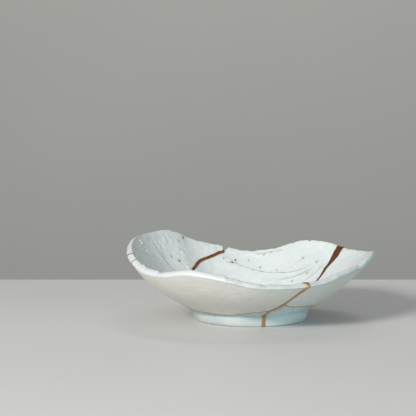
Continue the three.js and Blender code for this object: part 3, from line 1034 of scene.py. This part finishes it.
def chip_loop():
    """The outline of the chip as a path: down its left side over the lip, along the outer wall,
    back up and along the inner wall. A moving average along it rounds the corners."""
    low, high = LIP_INNER - CHIP_DOWN_IN, LIP_OUTER + CHIP_DOWN_OUT
    left_in, right_in = CHIP_SIDES_IN
    left_out, right_out = CHIP_SIDES_OUT
    corners = [(left_in, low), (left_in, LIP_INNER), (left_out, LIP_OUTER), (left_out, high),
               (right_out, high), (right_out, LIP_OUTER), (right_in, LIP_INNER), (right_in, low)]
    corners.append(corners[0])
    steps = 60
    window = 17
    s = np.linspace(0, 1, steps, endpoint=False)
    path = np.vstack([
        np.stack([mix(a, c, s), mix(b, d, s)], -1)
        for (a, b), (c, d) in zip(corners[:-1], corners[1:])])
    wrapped = np.vstack([path[-window:], path, path[:window]])
    kernel = np.ones(window) / window
    theta, m = (np.convolve(column, kernel, "same")[window:-window] for column in wrapped.T)
    path = np.stack([theta, m, np.full(len(m), CHIP_JOINT_WIDTH)], -1)
    return np.vstack([path, path[:1]])


def lip_run_path():
    """The lacquer that runs on from the chip, on a straight line of the map up to the lip."""
    count = 60
    theta = np.linspace(*LIP_RUN_ANGLES, count)
    m = np.linspace(LIP_INNER - CHIP_DOWN_IN, LIP_INNER - LIP_RUN_END, count)
    return np.stack([theta, m, np.full(count, LIP_RUN_WIDTH)], -1)


def rim_chip():
    """The chip: a slab between the finished surface and the same surface moved inwards by its
    depth, in the pocket of the left wall, with a little play all round."""
    rows, columns = 60, 40
    play_along, play_around = 0.1, 0.06
    low, high = LIP_INNER - CHIP_DOWN_IN + play_along, LIP_OUTER + CHIP_DOWN_OUT - play_along
    m = np.linspace(low, high, rows)[:, None]
    share = np.clip((m - LIP_INNER) / LIP_STRETCH, 0, 1)
    left = mix(CHIP_SIDES_IN[0], CHIP_SIDES_OUT[0], share) + play_around
    right = mix(CHIP_SIDES_IN[1], CHIP_SIDES_OUT[1], share) - play_around
    theta = mix(left, right, np.linspace(0, 1, columns))
    m = np.broadcast_to(m, theta.shape)
    points, normal = surface(theta, m)
    under = points - normal * CHIP_DEPTH
    both = np.vstack([points, under[::-1]])
    marks = finish_marks(theta, m, points, False)
    marks = {label: np.vstack([values, values[::-1]]) for label, values in marks.items()}
    faces = ring_faces(*both.shape[:2], rows)
    put_in("rim_chip_glazed", both.reshape(-1, 3), faces, marks, glaze, "rim_chip")


def domes(name, spots, height_share, material, seed):
    """Small mounds of lacquer on the inner side. Each is half an ellipsoid, out = size * sin(tilt)
    and up = share * size * cos(tilt), over a shallow foot in the glaze. Its outline is uneven by
    two cosines of the turn, with random starts."""
    rings, turns = 7, 20
    foot_depth = 0.5
    random = np.random.default_rng(seed)
    turn = np.linspace(0, 2 * np.pi, turns, endpoint=False)
    tilt = np.linspace(0, np.pi, rings)[:, None]
    all_points, all_faces, all_edge, count = [], [], [], 0
    for x, y, size in spots:
        theta = np.degrees(math.atan2(y, x)) % 360
        m = inner_place(theta, math.hypot(x, y))
        centre, normal = surface(np.array([theta]), np.atleast_1d(m))
        centre, normal = centre[0], normal[0]
        first = np.cross(normal, [0, 0, 1])
        first /= np.linalg.norm(first)
        second = np.cross(normal, first)
        lobes = 1 + 0.14 * np.cos(2 * turn + random.uniform(0, 6))
        lobes = lobes + 0.1 * np.cos(3 * turn + random.uniform(0, 6))
        out = (np.sin(tilt) * lobes * size)[..., None]
        lift = np.where(tilt < np.pi / 2, height_share * size, foot_depth) * np.cos(tilt)
        up = np.repeat(lift, turns, axis=1)[..., None]
        level = np.cos(turn)[:, None] * first + np.sin(turn)[:, None] * second
        points = centre + out * level + up * normal
        index = np.arange(rings * turns).reshape(rings, turns) + count
        right = np.roll(index, -1, axis=1)
        all_faces.append(np.stack([index[:-1], index[1:], right[1:], right[:-1]], -1).reshape(-1, 4))
        all_points.append(points.reshape(-1, 3))
        all_edge.append(np.broadcast_to(np.sin(tilt), (rings, turns)).reshape(-1))
        count += rings * turns
    put_in(name, np.vstack(all_points), np.vstack(all_faces), {"edge": np.concatenate(all_edge)},
           material, None)


# Materials

def srgb(red, green, blue):
    """A colour written as on a screen (0 to 255), as linear light: value / 12.92 where it is dark,
    and ((value + 0.055) / 1.055) ^ 2.4 elsewhere."""
    values = np.array([red, green, blue]) / 255
    dark = values / 12.92
    light = ((values + 0.055) / 1.055) ** 2.4
    return (*np.where(values <= 0.04045, dark, light).tolist(), 1)


GLAZE_PALE = srgb(213, 220, 219)
GLAZE_BLUE = srgb(197, 209, 210)
GLAZE_MILKY = srgb(216, 220, 218)
GLAZE_GREY = srgb(180, 192, 194)
GLAZE_POOLED = srgb(164, 204, 209)
# Painted shade along the front of the rim.
GLAZE_FRONT_SHADE = srgb(176, 186, 187)
LIP_WHITE = srgb(212, 215, 214)
LIP_MILKY = srgb(198, 204, 205)
OUTER_LIGHT = srgb(216, 215, 207)
OUTER_DULL = srgb(206, 208, 200)
# Painted light: a cool tint for the shade on the side of the outer wall turned from the window.
OUTER_SHADED_TINT = srgb(204, 216, 213)
FOOT_WHITE = srgb(192, 196, 194)
FOOT_BLUE = srgb(162, 174, 174)
# Painted light: bluer, lighter foot glaze on the side turned from the window, for the cool fill there.
FOOT_SHADED_TINT = srgb(200, 226, 228)
BARE_BODY = srgb(196, 190, 176)
# Painted shade in the crevices of the folds.
CREVICE_SHADE = srgb(92, 98, 98)
SPECK_STAIN = srgb(176, 160, 118)
# A painted glint on the gold near the lip.
GOLD_GLINT = srgb(246, 226, 176)


def grain_group():
    """The grain of every surface here: noise at a given place and size, from 0 to 1 between a low
    and a high mark."""
    group = bpy.data.node_groups.new("grain", "ShaderNodeTree")
    group.interface.new_socket("Place", in_out="INPUT", socket_type="NodeSocketVector")
    for label in ("Size", "Low", "High"):
        group.interface.new_socket(label, in_out="INPUT", socket_type="NodeSocketFloat")
    group.interface.new_socket("Mask", in_out="OUTPUT", socket_type="NodeSocketFloat")
    given = group.nodes.new("NodeGroupInput")
    result = group.nodes.new("NodeGroupOutput")
    texture = group.nodes.new("ShaderNodeTexNoise")
    texture.inputs["Detail"].default_value = 3
    texture.inputs["Roughness"].default_value = 0.6
    spread = group.nodes.new("ShaderNodeMapRange")
    for source, target in (
            (given.outputs["Place"], texture.inputs["Vector"]),
            (given.outputs["Size"], texture.inputs["Scale"]),
            (texture.outputs["Fac"], spread.inputs["Value"]),
            (given.outputs["Low"], spread.inputs["From Min"]),
            (given.outputs["High"], spread.inputs["From Max"]),
            (spread.outputs["Result"], result.inputs["Mask"])):
        group.links.new(source, target)
    return group


GRAIN = grain_group()


class Finish:
    """A new material and its nodes, with short ways to add a node and join it up."""

    def __init__(self, name):
        """Makes the material with its Principled BSDF."""
        self.material = bpy.data.materials.new(name)
        self.material.use_nodes = True
        self.nodes = self.material.node_tree.nodes
        self.links = self.material.node_tree.links
        self.shader = self.nodes["Principled BSDF"]

    def give(self, socket, value):
        """Sets a socket to a plain value, or joins the output of another node to it."""
        if isinstance(value, (int, float, tuple)):
            socket.default_value = value
        else:
            self.links.new(value, socket)

    def surface_has(self, **values):
        """Gives the shader's own sockets their values, with _ for a space in their names."""
        for name, value in values.items():
            self.give(self.shader.inputs[name.replace("_", " ")], value)

    def grain(self, size, low, high):
        """The grain group on Object coordinates."""
        node = self.nodes.new("ShaderNodeGroup")
        node.node_tree = GRAIN
        for label, value in (("Size", size), ("Low", low), ("High", high)):
            node.inputs[label].default_value = value
        where = self.nodes.new("ShaderNodeTexCoord")
        self.links.new(where.outputs["Object"], node.inputs["Place"])
        return node.outputs["Mask"]

    def mark(self, name, share=None):
        """A mark of the mesh, times a share where one is given."""
        node = self.nodes.new("ShaderNodeAttribute")
        node.attribute_type = "GEOMETRY"
        node.attribute_name = name
        if share is None:
            return node.outputs["Fac"]
        return self.product(node.outputs["Fac"], share)

    def ranged(self, source, low, high):
        """0 where the source is low, 1 where it is high, and (source - low) / (high - low)
        between them."""
        node = self.nodes.new("ShaderNodeMapRange")
        node.inputs["From Min"].default_value = low
        node.inputs["From Max"].default_value = high
        self.links.new(source, node.inputs["Value"])
        return node.outputs["Result"]

    def reckon(self, operation, a, b):
        """Two values joined by a Math node."""
        node = self.nodes.new("ShaderNodeMath")
        node.operation = operation
        self.give(node.inputs[0], a)
        self.give(node.inputs[1], b)
        return node.outputs["Value"]

    def product(self, a, b):
        """a * b."""
        return self.reckon("MULTIPLY", a, b)

    def total(self, first, *others):
        """The sum of all values."""
        for other in others:
            first = self.reckon("ADD", first, other)
        return first

    def layer(self, under, over, share):
        """under + (over - under) * share, for colours."""
        node = self.nodes.new("ShaderNodeMix")
        node.data_type = "RGBA"
        for label, kind, value in (("A", "RGBA", under), ("B", "RGBA", over),
                                   ("Factor", "VALUE", share)):
            self.give(next(s for s in node.inputs if (s.name, s.type) == (label, kind)), value)
        return next(s for s in node.outputs if s.type == "RGBA")

    def bump(self, height, strength, distance):
        """Tilts the shader's normal along the slope of a height, distance in metres."""
        node = self.nodes.new("ShaderNodeBump")
        node.inputs["Strength"].default_value = strength
        node.inputs["Distance"].default_value = distance
        self.links.new(height, node.inputs["Height"])
        self.links.new(node.outputs["Normal"], self.shader.inputs["Normal"])


def porcelain_material():
    """Milky blue-green glaze over a pale body: whiter where it runs thin over the rim, bluer where
    it pools, warmer and duller on the outer wall, with fine pits and faint mottling. Shade is painted
    in: grey in the crevices of the folds, darker along the front of the rim, and a cool tint on the
    side turned from the window."""
    finish = Finish("celadon_glaze")
    layer, mark = finish.layer, finish.mark
    mottle = finish.grain(38, 0.35, 0.7)
    cloud = finish.grain(11, 0.3, 0.7)
    flecks = finish.grain(260, 0.52, 0.72)

    colour = layer(GLAZE_PALE, GLAZE_BLUE, mottle)
    colour = layer(colour, GLAZE_MILKY, finish.product(cloud, 0.6))
    colour = layer(colour, GLAZE_GREY, finish.product(flecks, 0.25))
    # The cool tints on the side turned from the window are painted light.
    wall = layer(layer(OUTER_LIGHT, OUTER_DULL, mottle), OUTER_SHADED_TINT, mark("shaded_side_tint", 0.8))
    foot = layer(layer(FOOT_WHITE, FOOT_BLUE, mottle), FOOT_SHADED_TINT, mark("shaded_side_tint", 0.85))
    lip = layer(LIP_WHITE, LIP_MILKY, cloud)
    # Painted shade among these: grey in the crevices, and darker glaze along the front of the rim.
    for over, share in (
            (wall, mark("outer")), (foot, mark("foot")), (GLAZE_POOLED, mark("pool", 0.6)),
            (lip, mark("thin")), (GLAZE_FRONT_SHADE, mark("front_shade", 0.8)), (BARE_BODY, mark("bare")),
            (CREVICE_SHADE, mark("crevice", 0.95)), (SPECK_STAIN, mark("stain", 0.5))):
        colour = layer(colour, over, share)

    roughness = finish.total(finish.product(mottle, 0.12), 0.22, mark("outer", 0.16), mark("bare", 0.5))
    finish.surface_has(
        Base_Color=colour, Roughness=roughness, IOR=1.48, Subsurface_Weight=0.12,
        Subsurface_Radius=(1.0, 0.9, 0.75), Subsurface_Scale=0.002)
    finest = finish.product(finish.grain(900, 0, 1), 0.35)
    broad = finish.product(finish.grain(60, 0, 1), 2.2)
    finish.bump(finish.total(finish.grain(420, 0, 1), finest, broad), 0.5, 0.00035)
    return finish.material


def gold_material(name, tones, metal, roughness, inside_tones=None):
    """Gold dust on red-brown lacquer: gold over the crown of a bead, lacquer showing through in
    grains and along its edges. Its tones, as on a screen, are crown, patches and bare lacquer.
    Inside the dish a joint has tones of its own, with the lacquer tone painted over its upper side
    as a painted dark reflection, and near the lip pale grains are painted as a glint."""
    finish = Finish(name)
    layer, mark, product = finish.layer, finish.mark, finish.product
    grains = finish.grain(1500, 0.42, 0.62)
    patches = finish.grain(160, 0.35, 0.65)
    broken = finish.total(product(grains, 0.5), 0.5)

    crown, patch, lacquer = (srgb(*tone) for tone in tones)
    bare = product(finish.ranged(mark("edge"), 0.55, 0.98), broken)
    colour = layer(layer(crown, patch, patches), lacquer, bare)
    if inside_tones:
        crown, patch, lacquer = (srgb(*tone) for tone in inside_tones)
        # Painted reflection: inside, the bead's upper side takes the dark lacquer tone.
        painted_dark_above = product(finish.ranged(mark("upper"), 0.2, 0.52), broken)
        inner = layer(layer(crown, patch, patches), lacquer, painted_dark_above)
        colour = layer(colour, inner, mark("inside"))
        # Painted glint: pale grains on the gold near the lip.
        glint_grains = product(finish.grain(900, 0.6, 0.64), mark("painted_glint"))
        colour = layer(colour, GOLD_GLINT, glint_grains)
    finish.surface_has(
        Base_Color=colour, Metallic=finish.reckon("SUBTRACT", metal, product(bare, 0.55 * metal)),
        Roughness=finish.total(product(grains, 0.12), roughness))
    finish.bump(finish.total(grains, patches), 0.6, 0.00015)
    return finish.material


def paint_material(name, colour, roughness, size):
    """A painted studio surface with a faint unevenness: its colour, and that colour times 0.94."""
    finish = Finish(name)
    darker = tuple(0.94 * value for value in colour[:3]) + (1,)
    uneven = finish.layer(colour, darker, finish.grain(size, 0.2, 0.8))
    finish.surface_has(Base_Color=uneven, Roughness=roughness)
    return finish.material


# The dish

glaze = porcelain_material()
# Inside the dish the joints are painted bright orange below and dark above, a painted reflection of the
# lit table and the dark room.
gold = gold_material(
    "gold_on_lacquer", [(192, 152, 110), (174, 134, 94), (138, 104, 76)], metal=0.6, roughness=0.42,
    inside_tones=[(192, 124, 62), (134, 76, 33), (68, 31, 13)])
thin_gold = gold_material(
    "thin_worn_gold", [(162, 148, 102), (138, 124, 82), (122, 110, 78)], metal=0.3, roughness=0.45)
chip_gold = gold_material(
    "brown_joint", [(128, 100, 72), (104, 78, 54), (84, 62, 44)], metal=0.3, roughness=0.4)
filled_gold = gold_material(
    "rough_gold_fill", [(104, 72, 34), (106, 46, 22), (118, 44, 20)], metal=0.4, roughness=0.42)
# The dark specks are gold-filled pin holes painted dark brown, a painted dark reflection.
dark_reflection_gold = gold_material(
    "dark_reflection_gold", [(88, 40, 20), (72, 30, 14), (110, 64, 36)], metal=0.2, roughness=0.3)
pale_gold = gold_material(
    "pale_gold", [(196, 174, 116), (176, 150, 92), (168, 146, 98)], metal=0.35, roughness=0.35)
# The splashes are painted near white, with no metal, as a painted glint.
glint_painted_gold = gold_material(
    "glint_painted_gold", [(255, 250, 228), (250, 238, 204), (236, 220, 180)], metal=0.0, roughness=0.3)


def spoke_edge(route, side, around):
    """An edge of a joint as a spoke near an angle, at its left (1) or right (-1)."""
    return Spoke(beside_route(route, side, SHARD_GAP), around)


def front_edge(side, end, around):
    """An edge of the front joint on the base, in front of the axis (end -1) or behind it (1)."""
    line = beside_route(FRONT_ROUTE, side, SHARD_GAP)
    return Spoke(line[line[:, 1] * end > 0], around)


# The back joint, the wedge, and both ends of the front joint lie near these angles. At the front
# joint and at the wedge a shard runs on under the gold to the joint's far edge, so that the two
# shards beside it overlap there. At the back joint each one ends at its own edge.
BACK_ANGLE = 120
WEDGE_ANGLE = 33.5
FRONT_ANGLE = 286
FRONT_ANGLE_ON_BASE = 280
BEHIND_AXIS_ANGLE = 99

axis_place = next(k for k, point in enumerate(FRONT_ROUTE) if point[:2] == [0, 0])
branch_place = next(k for k, point in enumerate(FRONT_ROUTE) if point[:2] == BRANCH_RIGHT)
front_between_walls = FRONT_ROUTE[:branch_place + 1]

# The columns of the left wall crowd round the chip.
CHIP_SHARE = 0.475
CHIP_SHARE_WIDTH = 0.06

wall_shard("left_wall_glazed", spoke_edge(BACK_ROUTE, -1, BACK_ANGLE),
           spoke_edge(front_between_walls, -1, FRONT_ANGLE), rows=66,
           shares=crowded_shares(460, CHIP_SHARE, CHIP_SHARE_WIDTH),
           node="left_wall_shard", pocket=True)
wall_shard("right_front_wall_glazed", spoke_edge(front_between_walls, 1, FRONT_ANGLE - 360),
           spoke_edge(WEDGE_ROUTE, -1, WEDGE_ANGLE), rows=66,
           shares=np.linspace(0, 1, 300), node="right_front_wall_shard")
wall_shard("right_back_wall_glazed", spoke_edge(WEDGE_ROUTE, 1, WEDGE_ANGLE),
           spoke_edge(BACK_ROUTE, 1, BACK_ANGLE), rows=80,
           shares=np.linspace(0, 1, 380), node="right_back_wall_shard")
base_shard("base_left_glazed", front_edge(-1, 1, BEHIND_AXIS_ANGLE),
           front_edge(-1, -1, FRONT_ANGLE_ON_BASE), columns=190, node="base_left_shard")
base_shard("base_right_glazed", front_edge(1, -1, FRONT_ANGLE_ON_BASE - 360),
           front_edge(1, 1, BEHIND_AXIS_ANGLE), columns=190, node="base_right_shard")
rim_chip()

# The base joint: its middle, the step in degrees in which it is followed, how far it keeps from
# the branches of the front joint, its width, and its radii where the back joint and the wedge
# meet it.
base_middle = Ring(smooth_route(closed(BASE_ROUTE))[:, :2])
BASE_STEP = 0.25
BRANCH_PLAY = 0.4
BASE_WIDTH = 1.0
BASE_AT_BACK = 53.0
BASE_AT_WEDGE = 53.5


def base_path(place):
    """The base joint on the inner or the outer surface, from one branch of the front joint round
    the back to the other, at even angles."""
    right = math.degrees(math.atan2(BRANCH_RIGHT[1], BRANCH_RIGHT[0]))
    left = math.degrees(math.atan2(BRANCH_LEFT[1], BRANCH_LEFT[0])) + 360
    theta = np.arange(right + BRANCH_PLAY, left - BRANCH_PLAY, BASE_STEP)
    m = place(theta, base_middle.at(theta))
    return np.stack([theta, m, np.full(len(theta), BASE_WIDTH)], -1)


def front_path():
    """The front joint all the way: from the base joint behind the axis over the floor, up the
    inner wall at the front, over the lip, down and under the foot, and on to the base joint behind
    the axis again. Behind the axis the angle is read from the route at each radius."""
    line = smooth_route(FRONT_ROUTE[axis_place:])
    line_radius = np.hypot(line[:, 0], line[:, 1])
    line_angle = polar(line[1:])[1]

    radius = np.arange(NEAR_AXIS, line_radius[-1], PATH_STEP)
    theta = np.interp(radius, line_radius[1:], line_angle)
    width = np.interp(radius, line_radius, line[:, 2])
    above = np.stack([theta, inner_place(theta, radius), width], -1)

    last = float(outer_place(theta[-1], line_radius[-1]))
    m = np.arange(ceiling_place(NEAR_AXIS), last, -PATH_STEP)
    theta = on_spoke(line[1:], m)
    width = np.interp(section(theta, m)[0], line_radius, line[:, 2])
    below = np.stack([theta, m, width], -1)
    return np.vstack([above[::-1], spoke_path(FRONT_ROUTE[:axis_place + 1], 0), below])


gold_joint("gold_base_joint", [base_path(inner_place), base_path(outer_place)],
           HAIRLINE, thin_gold, "gold_seam_base")
gold_joint("gold_front_joint", [front_path()], BEAD, gold, "gold_seam_front")
gold_joint("gold_back_joint", [spoke_path(BACK_ROUTE, BASE_AT_BACK)],
           NARROW_BEAD, gold, "gold_seam_back")
gold_joint("gold_wedge_fill", [spoke_path(WEDGE_ROUTE, BASE_AT_WEDGE)],
           FILLED, filled_gold, "gold_wedge_right")
gold_joint("gold_chip_joint", [chip_loop()], HAIRLINE, chip_gold, "gold_seam_chip", is_loop=True)
domes("dark_reflection_specks", DARK_SPECKS, 0.45, dark_reflection_gold, seed=5)
domes("gold_specks", GOLD_SPECKS, 0.35, pale_gold, seed=6)
domes("gold_splashes", SPLASHES, 0.8, glint_painted_gold, seed=7)
gold_joint("gold_lip_run", [lip_run_path()], HAIRLINE, chip_gold, None)

# Table, wall, light and camera, in metres

# The table ends a little behind the dish, and the wall stands farther back.
TABLE_BACK = 0.257
TABLE_SPAN = 6.0
TABLE_DEPTH = 3.0
TABLE_THICKNESS = 0.04
WALL_AT = 1.6
WALL_SPAN = 8.0
WALL_THICKNESS = 0.05
WALL_BOTTOM = -1.5
WALL_TOP = 3.5

# Lamps: place, target, size, power and colour.
LAMPS = {
    "window": ((-1.15, -1.8, 1.0), (0, 0, 0.02), (0.55, 0.4), 58, (1, 0.985, 0.96)),
    "pale_room": ((1.3, -1.5, 0.35), (0, 0, 0.03), (1.2, 0.6), 9, (0.93, 0.98, 1)),
    "wall_wash": ((0.3, 0.9, 1.9), (0.8, WALL_AT, 0.4), (1.5, 0.8), 10, (1, 1, 1)),
}


def slab(name, low, high, material):
    """A box between two corners."""
    x0, y0, z0 = low
    x1, y1, z1 = high
    corners = [(x, y, z) for z in (z0, z1) for x, y in ((x0, y0), (x1, y0), (x1, y1), (x0, y1))]
    sides = [(3, 2, 1, 0), (4, 5, 6, 7), (0, 1, 5, 4), (1, 2, 6, 5), (2, 3, 7, 6), (3, 0, 4, 7)]
    mesh = bpy.data.meshes.new(name)
    mesh.from_pydata(corners, [], sides)
    mesh.materials.append(material)
    thing = bpy.data.objects.new(name, mesh)
    bpy.context.scene.collection.objects.link(thing)


def lamp(name, place, target, size, power, colour):
    """A rectangular lamp that faces its target."""
    data = bpy.data.lights.new(name, "AREA")
    data.shape = "RECTANGLE"
    data.size, data.size_y = size
    data.energy = power
    data.color = colour
    thing = bpy.data.objects.new(name, data)
    thing.location = place
    thing.rotation_mode = "QUATERNION"
    thing.rotation_quaternion = (Vector(target) - Vector(place)).to_track_quat("-Z", "Y")
    bpy.context.scene.collection.objects.link(thing)


slab("table", (-TABLE_SPAN / 2, TABLE_BACK - TABLE_DEPTH, -TABLE_THICKNESS),
     (TABLE_SPAN / 2, TABLE_BACK, 0), paint_material("table_paint", srgb(210, 209, 208), 0.55, 3))
slab("wall", (-WALL_SPAN / 2, WALL_AT, WALL_BOTTOM),
     (WALL_SPAN / 2, WALL_AT + WALL_THICKNESS, WALL_TOP),
     paint_material("wall_paint", srgb(176, 176, 171), 0.8, 1.5))
for lamp_name, setting in LAMPS.items():
    lamp(lamp_name, *setting)

world = bpy.data.worlds.new("room")
world.use_nodes = True
background = world.node_tree.nodes["Background"]
background.inputs["Color"].default_value = srgb(206, 212, 216)
background.inputs["Strength"].default_value = 0.35
bpy.context.scene.world = world
bpy.context.scene.view_settings.view_transform = "Standard"

# The photograph's camera: a long lens a metre off, above the rim and tilted down slightly.
CAMERA_PLACE = (-0.0361, -0.9693, 0.1570)
CAMERA_DOWN = 3.736
CAMERA_LENS = 99.52
SENSOR_WIDTH = 36
NEAREST = 0.05
FARTHEST = 20

camera_data = bpy.data.cameras.new("camera")
camera_data.sensor_width = SENSOR_WIDTH
camera_data.lens = CAMERA_LENS
camera_data.clip_start = NEAREST
camera_data.clip_end = FARTHEST
camera = bpy.data.objects.new("camera", camera_data)
camera.location = CAMERA_PLACE
camera.rotation_euler = (math.radians(90 - CAMERA_DOWN), 0, 0)
bpy.context.scene.collection.objects.link(camera)
bpy.context.scene.camera = camera
